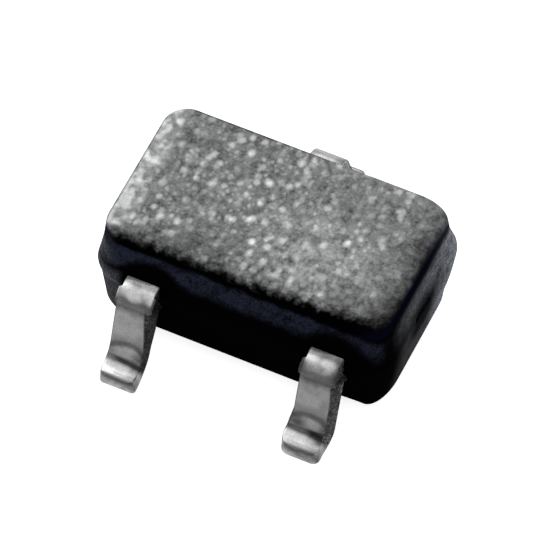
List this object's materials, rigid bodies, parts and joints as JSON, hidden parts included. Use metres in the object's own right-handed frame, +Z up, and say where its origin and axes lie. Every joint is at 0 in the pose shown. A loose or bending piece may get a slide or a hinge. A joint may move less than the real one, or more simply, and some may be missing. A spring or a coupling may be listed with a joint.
{
  "type": "tvs diode array",
  "caption": "Small moulded surface-mount diode package with gull-wing leads: two on one long side and one in the middle of the other.",
  "frame": {"origin": "on the board, under the middle of the footprint of the three feet", "axes": "+X along the body's length; +Y towards the side with the single common lead; +Z up from the board through the top face"},
  "size_m": [0.002, 0.0022, 0.001],
  "materials": {
    "moulding_compound": "matte, with fine light specks of filler",
    "tinned_lead": "satin tin plate on copper alloy",
    "solder": "satin",
    "gold": "bright",
    "silicon": "polished dark grey",
    "passivation_glass": "thin glass film over dark silicon",
    "pad_aluminium": "bright"
  },
  "bodies": {
    "root": {"epoxy_body": "moulding_compound", "lead_io_1": "tinned_lead", "lead_io_2": "tinned_lead", "lead_common": "tinned_lead", "die_attach": "solder", "back_metal": "gold", "silicon_die": "silicon", "glass_film": "passivation_glass", "bond_pad_1": "pad_aluminium", "bond_pad_2": "pad_aluminium", "bond_wire_1": "gold", "bond_wire_2": "gold"}
  },
  "joints": []
}
